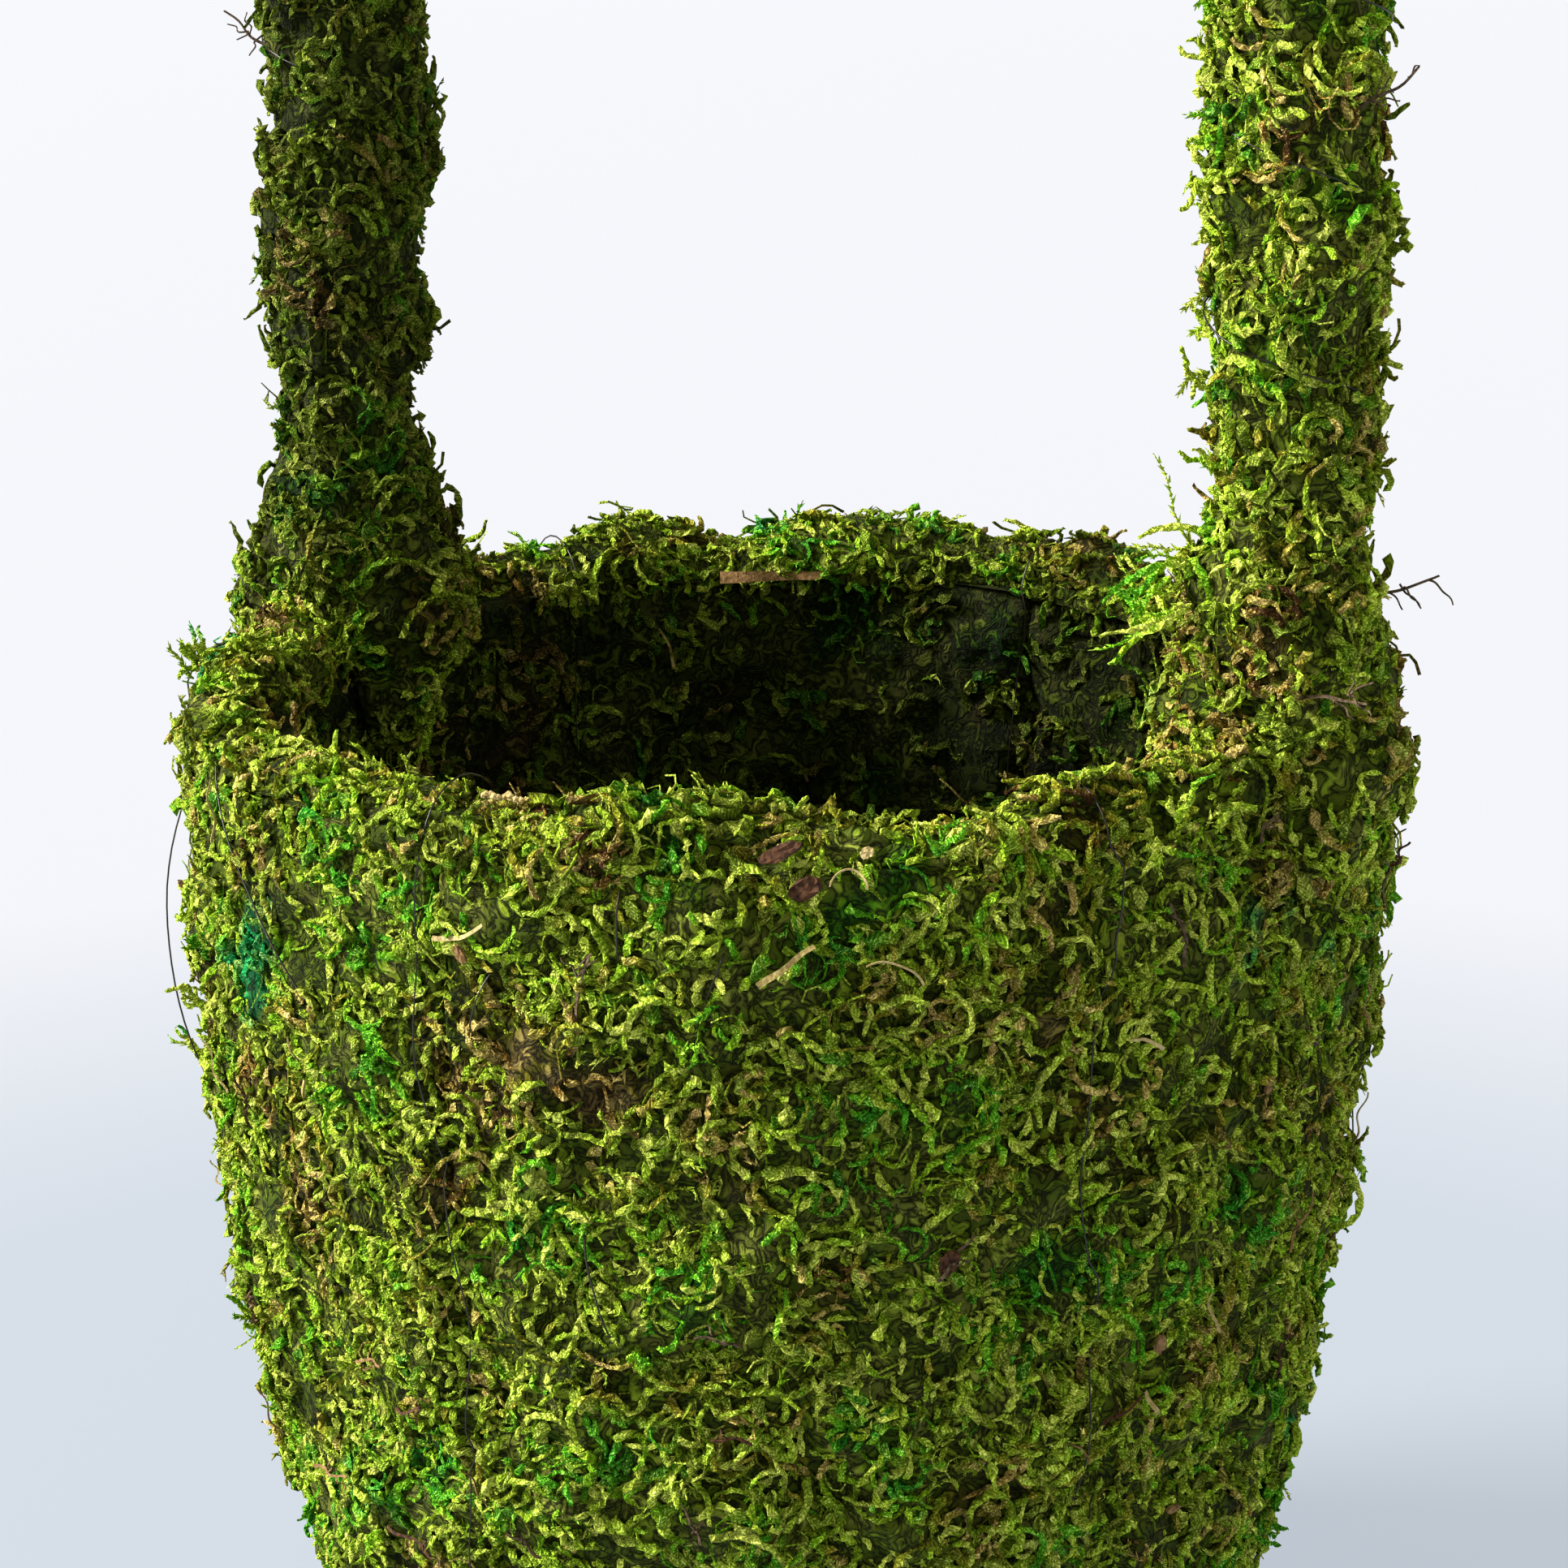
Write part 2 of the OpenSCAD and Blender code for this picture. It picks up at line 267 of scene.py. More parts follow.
def curled(shape, name, curl, wave, rise, length):
    """A copy of a straight shoot bent along its own path: curl turns it in the plane of the moss, and rise
    lifts its tip out of it."""
    steps = 24
    path, heading, place = [], 0, Vector((-length / 2, 0, 0))
    phase = random.uniform(0, 6.28)
    for k in range(steps + 1):
        s = k / steps
        path.append((place.copy(), heading))
        heading += (curl + wave * math.cos(phase + 7 * s)) / steps
        place += Vector((math.cos(heading), math.sin(heading), 0)) * length / steps
    middle = sum((p for p, _ in path), Vector()) / len(path)
    bent = shape.copy()
    bent.data = shape.data.copy()
    bent.name = name
    bpy.context.collection.objects.link(bent)
    for vertex in bent.data.vertices:
        s = max(0, min(1, vertex.co.x / length))
        k = min(steps - 1, int(s * steps))
        (a, angle_a), (b, angle_b) = path[k], path[k + 1]
        blend = s * steps - k
        angle = angle_a + (angle_b - angle_a) * blend
        side = Vector((-math.sin(angle), math.cos(angle), 0))
        lift = rise * s ** 2.5 + 0.5 * MM * math.sin(9 * s + phase)
        vertex.co = a.lerp(b, blend) - middle + side * vertex.co.y + Vector((0, 0, vertex.co.z + lift))
    mark_height(bent)
    return bent


def kinds_of(name, plain_ones, count, curls, rises):
    """A set of bent copies of the straight shoots, kept apart from the scene."""
    kinds = bpy.data.collections.new(name)
    for n in range(count):
        plain, length = plain_ones[n % len(plain_ones)]
        curl, wave = random.uniform(-curls, curls), random.uniform(-curls, curls)
        bent = curled(plain, f"{name}_{n:02d}", curl, wave, random.choice(rises) * MM, length)
        kinds.objects.link(bent)
        bpy.context.collection.objects.unlink(bent)
    for plain, _ in plain_ones:
        bpy.data.objects.remove(plain)
    return kinds


def stalk(length, width):
    """An old dry stem with its leaves gone."""
    bar = ringed(length, 7)
    for vertex in bar.data.vertices:
        slim = width * (1.1 - 0.6 * vertex.co.x / length)
        vertex.co.y, vertex.co.z = vertex.co.y * slim / MM, vertex.co.z * slim / MM
    mark_reach(bar)
    return bar


top_straight = [(leafy(11 * MM, 11, 0.88 * MM), 11 * MM),
                (leafy(9 * MM, 9, 0.85 * MM), 9 * MM),
                (leafy(7 * MM, 8, 0.8 * MM), 7 * MM),
                (feathery(10 * MM, 10, 1.8 * MM, 0.4 * MM), 10 * MM),
                (leafy(15 * MM, 14, 0.8 * MM), 15 * MM),
                (stalk(13 * MM, 0.28 * MM), 13 * MM)]
top_shoots = kinds_of("top", top_straight, 30, 5.2, (0, 0.3, 0.6, 1.6))
low_straight = [(leafy(10 * MM, 7, 1.3 * MM), 10 * MM),
                (leafy(8 * MM, 6, 1.25 * MM), 8 * MM)]
low_shoots = kinds_of("low", low_straight, 8, 3.4, (0, 0.3))


# ---- Moss material ----
# Preserved feather moss is matt, with next to no shine. Its colour goes from brown and straw, where it has
# aged, over olive to the green that the preserving dye gives, which is teal in a few tufts.
# The material paints shade on this colour, at the stem, low in the mat and in gaps, and pale highlights
greens = [(0.0, "#4c3214"), (0.07, "#7f6424"), (0.14, "#b8a45c"), (0.22, "#86801c"), (0.34, "#6f8e10"),
          (0.46, "#9cb82c"), (0.56, "#b9c650"), (0.64, "#8fb41c"), (0.78, "#56a00e"), (1.0, "#2a8a1c")]
leaf_pitch = 0.75 * MM  # real leaves stand closer than this, but would be too fine to see


def moss_material(name, strength, dark_below, grain=1.3 * MM, gaps=0.5, green=0, painted_shade_amount=0):
    """Moss whose shoots are near the green of their clump. Green moves it along the palette, and grain and
    gaps set its tangle, with painted shade in the gaps. The last argument is painted shade between the wall
    and the arch of the handle."""
    material, tree = new_material(name)
    tone = add(tree, "ShaderNodeAttribute", attribute_name="tone").outputs["Fac"]
    reach = add(tree, "ShaderNodeAttribute", attribute_name="reach").outputs["Fac"]
    height = add(tree, "ShaderNodeAttribute", attribute_name="height").outputs["Fac"]
    straight = add(tree, "ShaderNodeAttribute", attribute_name="straight").outputs["Vector"]
    where = add(tree, "ShaderNodeTexCoord").outputs["Object"]

    # Clumps about 22 mm across lean one way, and each shoot has its own tone as well
    clump = add(tree, "ShaderNodeTexNoise", {"Vector": where}, Scale=1 / (22 * MM),
                Detail=3.0).outputs["Fac"]
    lean = add(tree, "ShaderNodeMapRange", {"Value": clump}, From_Min=0.25, From_Max=0.75,
               To_Min=green - 0.12, To_Max=green + 0.62, clamp=False).outputs[0]
    own = add(tree, "ShaderNodeMath", {0: tone}, operation="MULTIPLY", i1=0.5).outputs[0]
    mixed = add(tree, "ShaderNodeMath", {0: own, 1: lean}, operation="ADD", use_clamp=True).outputs[0]
    fresh = add(tree, "ShaderNodeValToRGB", {"Fac": mixed}, stops=greens).outputs["Color"]
    patch = add(tree, "ShaderNodeTexNoise", {"Vector": where}, Scale=1 / (31 * MM), Detail=4.0,
                noise_dimensions="4D", W=7.0).outputs["Fac"]
    dyed = add(tree, "ShaderNodeMapRange", {"Value": patch}, From_Min=0.66, From_Max=0.71).outputs[0]
    dye = add(tree, "ShaderNodeMix", {"Factor": dyed, 6: fresh}, data_type="RGBA",
              i7=linear("#129a50")).outputs[2]

    # A tangle of thin strands, with painted shade in the gaps between them
    tangle = add(tree, "ShaderNodeTexNoise", {"Vector": where}, Scale=1 / grain, Detail=4.0,
                 Distortion=1.6).outputs["Fac"]
    apart = add(tree, "ShaderNodeMath", {0: tangle}, operation="SUBTRACT", i1=0.5).outputs[0]
    strand = add(tree, "ShaderNodeMath", {0: apart}, operation="ABSOLUTE").outputs[0]
    fleck = add(tree, "ShaderNodeMapRange", {"Value": strand}, From_Max=0.13, To_Min=gaps,
                To_Max=1.5).outputs[0]

    # Leaf edges that sweep back from the stem on both sides, a little frayed, with painted shade between
    # leaves
    along = add(tree, "ShaderNodeSeparateXYZ", {0: straight})
    off_stem = add(tree, "ShaderNodeMath", {0: along.outputs["Y"]}, operation="ABSOLUTE").outputs[0]
    swept = add(tree, "ShaderNodeMath", {0: off_stem, 2: along.outputs["X"]}, operation="MULTIPLY_ADD",
                i1=-1.4).outputs[0]
    frayed = add(tree, "ShaderNodeMath", {0: tangle, 2: swept}, operation="MULTIPLY_ADD",
                 i1=1.1 * MM).outputs[0]
    saw = add(tree, "ShaderNodeMath", {0: frayed}, operation="PINGPONG", i1=leaf_pitch / 2).outputs[0]
    leaf = add(tree, "ShaderNodeMapRange", {"Value": saw}, From_Max=leaf_pitch / 2, To_Min=0.42,
               To_Max=1.42).outputs[0]

    # Painted shade, dark at the stem and low in the mat, and a painted highlight at the brightest leaf
    # points
    leafward = add(tree, "ShaderNodeMapRange", {"Value": reach}, To_Min=0.6, To_Max=1.25).outputs[0]
    topward = add(tree, "ShaderNodeMapRange", {"Value": height}, To_Min=dark_below, To_Max=1.2).outputs[0]
    edged = add(tree, "ShaderNodeMath", {0: fleck, 1: leaf}, operation="MULTIPLY").outputs[0]
    shade = add(tree, "ShaderNodeMath", {0: edged, 1: leafward}, operation="MULTIPLY").outputs[0]
    shade = add(tree, "ShaderNodeMath", {0: shade, 1: topward}, operation="MULTIPLY").outputs[0]
    shade = add(tree, "ShaderNodeMath", {0: shade}, operation="MULTIPLY", i1=strength).outputs[0]
    # Painted highlight: the brightest points are mixed, up to 40%, towards a pale grey-straw
    pale = add(tree, "ShaderNodeMapRange", {"Value": shade}, From_Min=strength * 0.9,
               From_Max=strength * 2.1, To_Max=0.4).outputs[0]
    highlight_mixed = add(tree, "ShaderNodeMix", {"Factor": pale, 6: dye}, data_type="RGBA",
              i7=linear("#b8bb74")).outputs[2]
    # Painted shade on the handle's left leg: darker from over the top of the wall to below the arch
    if painted_shade_amount:
        level = add(tree, "ShaderNodeSeparateXYZ", {0: where}).outputs["Z"]
        over_wall = add(tree, "ShaderNodeMapRange", {"Value": level}, interpolation_type="SMOOTHSTEP",
                        From_Min=175 * MM, From_Max=225 * MM).outputs[0]
        under_arch = add(tree, "ShaderNodeMapRange", {"Value": level}, interpolation_type="SMOOTHSTEP",
                         From_Min=420 * MM, From_Max=325 * MM).outputs[0]
        shaded_band = add(tree, "ShaderNodeMath", {0: over_wall, 1: under_arch}, operation="MULTIPLY").outputs[0]
        shade_factor = add(tree, "ShaderNodeMapRange", {"Value": shaded_band}, To_Min=1.0, To_Max=1 - painted_shade_amount).outputs[0]
        shade = add(tree, "ShaderNodeMath", {0: shade, 1: shade_factor}, operation="MULTIPLY").outputs[0]
    colour = add(tree, "ShaderNodeVectorMath", {0: highlight_mixed, 1: shade}, operation="MULTIPLY").outputs[0]
    bump = add(tree, "ShaderNodeBump", {"Height": edged}, Strength=0.7, Distance=0.7 * MM).outputs[0]
    finish_material(tree, Base_Color=colour, Roughness=0.85, Specular_IOR_Level=0.12, Normal=bump)
    return material


# Open moss in full colour: bright curled shoots over a lower layer painted duller, as shade under them, on
# a smooth brown-green felt painted dark, darkest in its gaps, as the shade at the bottom of the moss
fronds = moss_material("feather_moss", 1.68, 0.22)
under = moss_material("lower_feather_moss", 0.88, 0.25, gaps=0.3)
felt = moss_material("moss_felt", 1.0, 0.4, 3.4 * MM, 0.04, green=0.2)
# Drier moss, which looks olive and straw, and the fresh tips of loose sprays
olive_fronds = moss_material("olive_feather_moss", 1.85, 0.22, green=-0.11)
fresh_fronds = moss_material("fresh_feather_moss", 2.2, 0.6, green=-0.15)
# Moss of the handle's left leg, with painted shade that makes it darker between the wall and the arch
shaded_leg_fronds = moss_material("left_leg_shaded_feather_moss", 1.9, 0.3, green=-0.06, painted_shade_amount=0.62)
shaded_leg_under = moss_material("left_leg_shaded_lower_moss", 0.8, 0.25, gaps=0.3, painted_shade_amount=0.5)
shaded_leg_felt = moss_material("left_leg_shaded_moss_felt", 1.0, 0.4, 3.4 * MM, 0.04, green=0.2, painted_shade_amount=0.6)
# Moss of the lining and the bowl's floor, painted dark all over as the shade inside the basket, so that it
# looks nearly black at the bottom
deep_fronds = moss_material("shaded_feather_moss", 0.78, 0.3)
deep_under = moss_material("shaded_old_moss", 0.36, 0.25, gaps=0.3)
deep_felt = moss_material("shaded_moss_felt", 0.35, 0.4, 3.4 * MM, 0.04, green=0.2)


# ---- Moss sheets ----
# The wall, the rim, the lining, the floor and the handle are covered with sheets of moss as they come off
# the forest floor: a felt of old stems with two layers of shoots on it, pressed on and bound with thread.
felt_grid, fullness = 2.8 * MM, 1.3 * MM


def mat_of(node, sink, humps, core):
    """A closed felt of old stems in the shape of a CAD piece, a little fuller so that it meets its
    neighbours. The faces that look away from core, the middle of the piece, are the ones that show: they are
    humped, and lie deeper than the piece's own face by sink, the room that their shoots fill."""
    mat = frame["nodes"][node].copy()
    mat.data = mat.data.copy()
    mat.name = node + "_mat"
    for key in list(mat.keys()):
        del mat[key]
    bpy.context.collection.objects.link(mat)
    bpy.ops.object.select_all(action="DESELECT")
    mat.select_set(True)
    bpy.context.view_layer.objects.active = mat
    bpy.ops.object.mode_set(mode="EDIT")
    bpy.ops.mesh.select_all(action="SELECT")
    bpy.ops.mesh.remove_doubles(threshold=0.01 * MM)
    bpy.ops.object.mode_set(mode="OBJECT")
    remesh = mat.modifiers.new("even", "REMESH")
    remesh.mode, remesh.voxel_size = "VOXEL", felt_grid
    bpy.ops.object.modifier_apply(modifier=remesh.name)
    fuller = mat.modifiers.new("fuller", "DISPLACE")
    fuller.strength, fuller.mid_level = fullness, 0
    bpy.ops.object.modifier_apply(modifier=fuller.name)
    shown = mat.data.attributes.new("shown", "FLOAT", "FACE")
    ways = mat.data.attributes.new("way", "FLOAT_VECTOR", "FACE")
    corners = set()
    for face in mat.data.polygons:
        way = (face.center - core(face.center)).normalized()
        ways.data[face.index].vector = way
        # Faces turned less than about 70 degrees from the way out are the ones that show
        if face.normal.dot(way) > 0.35:
            shown.data[face.index].value = 1
            corners.update(face.vertices)
    for corner in corners:
        vertex = mat.data.vertices[corner]
        swell = sum(height * noise.noise(vertex.co / size) for size, height in humps)
        vertex.co += (vertex.co - core(vertex.co)).normalized() * (swell - sink - fullness)
    for vertex in mat.data.vertices:
        vertex.co.z = max(vertex.co.z, 0)
    mat.data.materials.clear()
    mat.data.materials.append(felt)
    return mat


def plant(mat, shoots, per_m2, gap, seed, lean=0.12):
    """Sets shoots on the faces of the mat that show and on the shoots that it has already, which makes the
    second layer deep. Each lies along the mat, a little tilted, and the way that they are combed drifts."""
    tree = bpy.data.node_groups.new("planting", "GeometryNodeTree")
    tree.interface.new_socket("Geometry", in_out="INPUT", socket_type="NodeSocketGeometry")
    tree.interface.new_socket("Geometry", in_out="OUTPUT", socket_type="NodeSocketGeometry")
    ground = add(tree, "NodeGroupInput").outputs[0]
    shown = add(tree, "GeometryNodeInputNamedAttribute", data_type="FLOAT",
                Name="shown").outputs["Attribute"]
    spread = add(tree, "GeometryNodeDistributePointsOnFaces", {"Mesh": ground, "Density Factor": shown},
                 distribute_method="POISSON", Distance_Min=gap, Density_Max=per_m2, Seed=seed)
    tilt = add(tree, "FunctionNodeRandomValue", data_type="FLOAT_VECTOR", Min=(-lean * 0.4, -lean, -0.8),
               Max=(lean * 0.4, lean, 0.8), Seed=seed + 1).outputs["Value"]
    combed = add(tree, "ShaderNodeTexNoise", Scale=1 / (20 * MM), Detail=1.0).outputs["Fac"]
    flow = add(tree, "ShaderNodeMapRange", {"Value": combed}, From_Min=0.2, From_Max=0.8, To_Min=-3.0,
               To_Max=6.2).outputs[0]
    flow = add(tree, "ShaderNodeCombineXYZ", {"Z": flow}).outputs[0]
    whole = add(tree, "ShaderNodeVectorMath", {0: tilt, 1: flow}, operation="ADD").outputs[0]
    turn = add(tree, "FunctionNodeEulerToRotation", {0: whole}).outputs[0]
    way = add(tree, "GeometryNodeInputNamedAttribute", data_type="FLOAT_VECTOR", Name="way").outputs[0]
    rough = add(tree, "ShaderNodeMix", {4: way, 5: spread.outputs["Normal"]}, data_type="VECTOR",
                i0=0.35).outputs[1]
    laid = add(tree, "FunctionNodeAlignRotationToVector", {"Vector": rough}, axis="Z").outputs[0]
    aim = add(tree, "FunctionNodeRotateRotation", {"Rotation": laid, "Rotate By": turn},
              rotation_space="LOCAL").outputs[0]
    size = add(tree, "FunctionNodeRandomValue", data_type="FLOAT", i2=0.75, i3=1.3, Seed=seed + 2).outputs[1]
    kinds = add(tree, "GeometryNodeCollectionInfo", Collection=shoots, Separate_Children=True,
                Reset_Children=True).outputs[0]
    grown = add(tree, "GeometryNodeInstanceOnPoints",
                {"Points": spread.outputs["Points"], "Instance": kinds, "Rotation": aim, "Scale": size},
                Pick_Instance=True).outputs[0]
    tone = add(tree, "FunctionNodeRandomValue", data_type="FLOAT", Seed=seed + 3).outputs[1]
    toned = add(tree, "GeometryNodeStoreNamedAttribute", {"Geometry": grown, "Value": tone},
                data_type="FLOAT", domain="INSTANCE", Name="tone").outputs[0]
    real = add(tree, "GeometryNodeRealizeInstances", {"Geometry": toned}).outputs[0]
    both = add(tree, "GeometryNodeJoinGeometry")
    tree.links.new(real, both.inputs[0])
    tree.links.new(ground, both.inputs[0])

    # Shoots under the foot lie flat on what the basket stands on
    axes = add(tree, "ShaderNodeSeparateXYZ", {0: add(tree, "GeometryNodeInputPosition").outputs[0]})
    above = add(tree, "ShaderNodeMath", {0: axes.outputs["Z"]}, operation="MAXIMUM", i1=0.2 * MM).outputs[0]
    kept = add(tree, "ShaderNodeCombineXYZ",
               {"X": axes.outputs["X"], "Y": axes.outputs["Y"], "Z": above}).outputs[0]
    out = add(tree, "GeometryNodeSetPosition", {"Geometry": both.outputs[0], "Position": kept}).outputs[0]
    add(tree, "NodeGroupOutput", {0: out})
    growth = mat.modifiers.new("growth", "NODES")
    growth.node_group = tree
    bpy.ops.object.select_all(action="DESELECT")
    mat.select_set(True)
    bpy.context.view_layer.objects.active = mat
    bpy.ops.object.modifier_apply(modifier=growth.name)
    bpy.data.node_groups.remove(tree)


for kinds, finish in ((top_shoots, fronds), (low_shoots, under)):
    for shoot in kinds.objects:
        shoot.data.materials.clear()
        shoot.data.materials.append(finish)

# The middles of the rounded pieces: how far out in millimetres, and how high
foot_out, foot_height = 41, 49 * MM
rim_out, rim_height = 96, 194 * MM
leg_out, spring_z = 95, 330 * MM
leg_x = leg_out * MM


def outward(place):
    """The level direction from the basket's axis to a place."""
    return Vector((place.x, place.y, 0)).normalized()


def wall_core(place):
    """Below the foot's height the wall turns in under the basket round a ring, and above it faces out."""
    if place.z > foot_height:
        return Vector((0, 0, place.z))
    return outward(place) * foot_out * MM + Vector((0, 0, foot_height))


def lining_core(place):
    """Far outside the wall, so that the lining faces in."""
    return Vector((place.x * 3, place.y * 3, place.z))


def rim_core(place):
    """The ring in the middle of the rolled rim."""
    return outward(place) * rim_out * MM + Vector((0, 0, rim_height))


def handle_core(place):
    """The middle line of the handle: two upright legs and a half circle over them."""
    spring = Vector((0, 0, spring_z))
    if place.z > spring.z:
        return spring + Vector((place.x, 0, place.z - spring.z)).normalized() * leg_out * MM
    return Vector((math.copysign(leg_x, place.x), 0, place.z))


def floor_core(place):
    """Far below the floor of the bowl, which faces up."""
    return place - Vector((0, 0, 1))


def base_core(place):
    """Far above the pad of the base, which faces down."""
    return place + Vector((0, 0, 1))


# Humps as pairs of their size and height. A row of the plan is a piece, its middle, sink and humps, the
# shoots to a square metre in its first and second layer, and its finishes.
wall_humps = [(15 * MM, 4.5 * MM), (5 * MM, 1.8 * MM)]
rim_humps = [(24 * MM, 7 * MM), (6 * MM, 2.4 * MM)]
open_moss = (felt, under, fronds)
olive_moss = (felt, under, olive_fronds)
shaded_leg_moss = (shaded_leg_felt, shaded_leg_under, shaded_leg_fronds)
deep_moss = (deep_felt, deep_under, deep_fronds)
plan = []
for n in range(1, 7):
    plan.append((f"outer_moss_{n}", wall_core, 2.6 * MM, wall_humps, 20000, 51000, open_moss))
    plan.append((f"inner_moss_{n}", lining_core, 2.6 * MM, wall_humps, 16000, 10000, deep_moss))
plan += [("rim_moss_front", rim_core, 3.0 * MM, rim_humps, 25000, 52000, olive_moss),
         ("rim_moss_back", rim_core, 3.0 * MM, rim_humps, 23000, 50000, open_moss),
         ("base_moss_pad", base_core, 2.6 * MM, wall_humps, 24000, 0, open_moss),
         ("floor_moss_pad", floor_core, 2.6 * MM, wall_humps, 30000, 10000, deep_moss)]
for part, sink in (("root", 3.6 * MM), ("leg", 1.7 * MM), ("shoulder", 1.7 * MM)):
    plan.append((f"{part}_moss_left", handle_core, sink, wall_humps, 28000, 44000, shaded_leg_moss))
    plan.append((f"{part}_moss_right", handle_core, sink, wall_humps, 28000, 44000, olive_moss))
plan.append(("crown_moss", handle_core, 1.7 * MM, wall_humps, 28000, 44000, olive_moss))

for row, (node, core, sink, humps, first_m2, second_m2, finishes) in enumerate(plan):
    mat = mat_of(node, sink, humps, core)
    plant(mat, low_shoots, first_m2, 1.5 * MM, 10 * row, lean=0.08)
    if second_m2:
        plant(mat, top_shoots, second_m2, 1.2 * MM, 10 * row + 5)
    for number, finish in enumerate(mat.data.materials):
        mat.data.materials[number] = finishes[open_moss.index(finish)]
    mat.name = node + "_grown"
    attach(mat, "root")
    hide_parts(node)

for shoot in [*top_shoots.objects, *low_shoots.objects]:
    bpy.data.objects.remove(shoot)


# ---- Binding thread ----
# Thin dark nylon, 0.34 mm thick. It is sewn round the wall at each seam, over the rim and through the foot,
# and a second length is wound round the handle. It sinks between the shoots in most places.
thread_thickness = 0.34 * MM

# Drawn nylon is smooth and nearly black, so it shows a thin gloss where it lies proud
nylon, tree = new_material("nylon_thread")
finish_material(tree, Base_Color=linear("#15120f"), Roughness=0.38)


def thread(name, routes, thickness):
    """One object of round thread along each of the routes, which are lists of points."""
    line = bpy.data.curves.new(name, "CURVE")
    line.dimensions = "3D"
    line.bevel_depth, line.bevel_resolution, line.use_fill_caps = thickness / 2, 0, True
    for route in routes:
        spline = line.splines.new("POLY")
        spline.points.add(len(route) - 1)
        for point, place in zip(spline.points, route):
            point.co = (*place, 1)
    strand = bpy.data.objects.new(name, line)
    bpy.context.collection.objects.link(strand)
    bpy.ops.object.select_all(action="DESELECT")
    strand.select_set(True)
    bpy.context.view_layer.objects.active = strand
    bpy.ops.object.convert(target="MESH")
    strand.data.materials.clear()
    strand.data.materials.append(nylon)
    return strand


points, faces = [], []
for node, *_ in plan:
    mesh = frame["nodes"][node].data
    faces += [[corner + len(points) for corner in face.vertices] for face in mesh.polygons]
    points += [vertex.co.copy() for vertex in mesh.vertices]
moss_face = BVHTree.FromPolygons(points, faces)


def strike(origin, way):
    """Where a straight line from origin first meets the basket's moss, and the way out of it there. A line
    that would slip into a seam is moved over by 1.2 mm."""
    spot, out, _, _ = moss_face.ray_cast(origin, way)
    if not spot or out.dot(way) > -0.3:
        aside = way.cross(Vector((0, 0, 1.2 * MM)))
        spot, out, _, _ = moss_face.ray_cast(origin + aside, way)
    return spot, out


def bearing(degrees):
    """The level direction at an angle round the basket, from +X towards +Y."""
    return Vector((math.cos(math.radians(degrees)), math.sin(math.radians(degrees)), 0))


def on_wall(degrees, height):
    """The place and the way out on the wall's outer face."""
    return strike(bearing(degrees) * 0.3 + Vector((0, 0, height)), -bearing(degrees))


# Six loops, one at each seam: up the wall's outside in small waves, over the rim, and down the lining.
# The rim's own roll is 11 mm in radius, so a thread at 10.4 mm is sunk a little into it.
low_z, high_z = 25 * MM, 193 * MM
seams = []
for k in range(6):
    angle = 30 + 60 * k
    drift = random.uniform(0, 6)
    route = []
    for n in range(57):
        height = low_z + (high_z - low_z) * n / 56
        spot, out = on_wall(angle + 1.6 * math.sin(height / (17 * MM) + drift), height)
        route.append(spot + out * (0.9 * math.sin(height / (5 * MM) + drift) - 0.9) * MM)
    for n in range(1, 12):
        turn = math.radians(180 * n / 12)
        out = bearing(angle) * math.cos(turn) + Vector((0, 0, math.sin(turn)))
        route.append(bearing(angle) * rim_out * MM + Vector((0, 0, rim_height)) + out * 10.4 * MM)
    for n in range(29):
        height = high_z + (low_z - high_z) * n / 28
        spot, out = strike(Vector((0, 0, height)), bearing(angle + math.sin(height / (20 * MM))))
        route.append(spot + out * (0.8 * math.sin(height / (6 * MM)) - 0.6) * MM)
    route.append(route[0])
    seams.append(route)

# Stray stitches, each from one bearing and height to another, and one loop that has worked loose
for start, end, proud in (((-72, 192), (-72, 180), 0), ((-63, 184), (-65, 174), 0),
                          ((-76, 134), (-74, 116), 0), ((-122, 196), (-104, 161), 0),
                          ((-141, 182), (-136, 128), 3.2), ((-84, 176), (-86, 166), 0),
                          ((104, 185), (108, 166), 0), ((64, 150), (66, 138), 0), ((12, 120), (14, 104), 0)):
    route = []
    for n in range(17):
        along = n / 16
        degrees, height = (a + (b - a) * along for a, b in zip(start, end))
        spot, out = on_wall(degrees, height * MM)
        rise = math.sin(math.pi * along)
        route.append(spot + out * ((proud + 2.2) * rise - 2 + 0.3 * math.sin(9 * along)) * MM)
    seams.append(route)
body_thread = thread("body_thread_sewn", seams, thread_thickness)
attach(body_thread, "root")
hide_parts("body_thread")

# The winding of the handle: up one leg, over the arch and down the other, a turn to every 30 mm
coil, pitch, step, leg_low = [], 30 * MM, 1.25 * MM, 248 * MM
leg_run, arch_run = spring_z - leg_low, math.pi * leg_x
for n in range(round((2 * leg_run + arch_run) / step)):
    s_along = n * step
    if s_along < leg_run:
        middle, out = Vector((-leg_x, 0, leg_low + s_along)), Vector((-1, 0, 0))
    elif s_along > leg_run + arch_run:
        down = s_along - leg_run - arch_run
        middle, out = Vector((leg_x, 0, spring_z - down)), Vector((1, 0, 0))
    else:
        angle = math.pi * (1 - (s_along - leg_run) / arch_run)
        out = Vector((math.cos(angle), 0, math.sin(angle)))
        middle = Vector((0, 0, spring_z)) + out * leg_x
    turn = 2 * math.pi * s_along / pitch + 0.25 * math.sin(s_along / (9 * MM))
    radius = (13.6 + 0.8 * math.sin(s_along / (4.3 * MM))) * MM
    coil.append(middle + (out * math.cos(turn) + Vector((0, 1, 0)) * math.sin(turn)) * radius)
handle_thread = thread("handle_thread_wound", [coil], thread_thickness)
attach(handle_thread, "root")
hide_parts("handle_thread")


